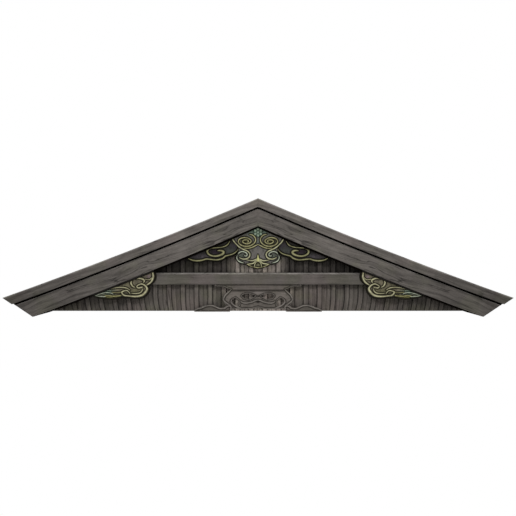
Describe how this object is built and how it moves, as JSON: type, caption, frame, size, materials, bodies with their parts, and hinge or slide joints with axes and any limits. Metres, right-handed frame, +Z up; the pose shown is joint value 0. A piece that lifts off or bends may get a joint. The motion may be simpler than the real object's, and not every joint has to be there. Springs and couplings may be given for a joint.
{
  "type": "pediment section",
  "caption": "Swept timber gable pediment with mitred barge boards and caps, board-and-batten infill, tie beam, carved pendant, corner brackets and openwork strut.",
  "frame": {"origin": "on the flat back face, at the middle of the wall and at the middle height of the tie beam", "axes": "+X to the right seen from the front, +Z up, the front faces -Y, and the mounting face looks along +Y"},
  "size_m": [4.86, 0.178, 1.1271],
  "materials": {
    "cap_wood": "bare weathered softwood, grey-brown, pale upper arris",
    "barge_wood": "bare weathered softwood, grey-brown with faint grain",
    "beam_wood": "bare weathered softwood, paler along its top edge",
    "wall_wood": "bare weathered boards, darker and dustier than the frame",
    "strut_wood": "bare carved wood with pale worn edges",
    "pendant_paint": "faded purple-grey ground with worn olive-gold ribs",
    "bracket_paint": "faded olive-gold paint with turquoise tips",
    "rosette_paint": "faded pale and dark green paint"
  },
  "bodies": {
    "root": {"cap_board_left": "cap_wood", "cap_board_right": "cap_wood", "barge_board_left": "barge_wood", "barge_board_right": "barge_wood", "tie_beam": "beam_wood", "pendant": "pendant_paint", "pendant_rosette": "rosette_paint", "pendant_fin_left": "pendant_paint", "pendant_fin_right": "pendant_paint", "corner_bracket_left": "bracket_paint", "corner_bracket_right": "bracket_paint", "frog_leg_strut": "strut_wood", "wall_board_middle": "wall_wood", "wall_board_left_1": "wall_wood", "wall_board_left_2": "wall_wood", "wall_board_left_3": "wall_wood", "wall_board_left_4": "wall_wood", "wall_board_left_5": "wall_wood", "wall_board_left_6": "wall_wood", "wall_board_left_7": "wall_wood", "wall_board_left_8": "wall_wood", "wall_board_left_9": "wall_wood", "wall_board_left_10": "wall_wood", "wall_board_left_11": "wall_wood", "wall_board_left_12": "wall_wood", "wall_board_left_13": "wall_wood", "wall_board_left_14": "wall_wood", "wall_board_left_15": "wall_wood", "wall_board_right_1": "wall_wood", "wall_board_right_2": "wall_wood", "wall_board_right_3": "wall_wood", "wall_board_right_4": "wall_wood", "wall_board_right_5": "wall_wood", "wall_board_right_6": "wall_wood", "wall_board_right_7": "wall_wood", "wall_board_right_8": "wall_wood", "wall_board_right_9": "wall_wood", "wall_board_right_10": "wall_wood", "wall_board_right_11": "wall_wood", "wall_board_right_12": "wall_wood", "wall_board_right_13": "wall_wood", "wall_board_right_14": "wall_wood", "wall_board_right_15": "wall_wood"}
  },
  "joints": []
}
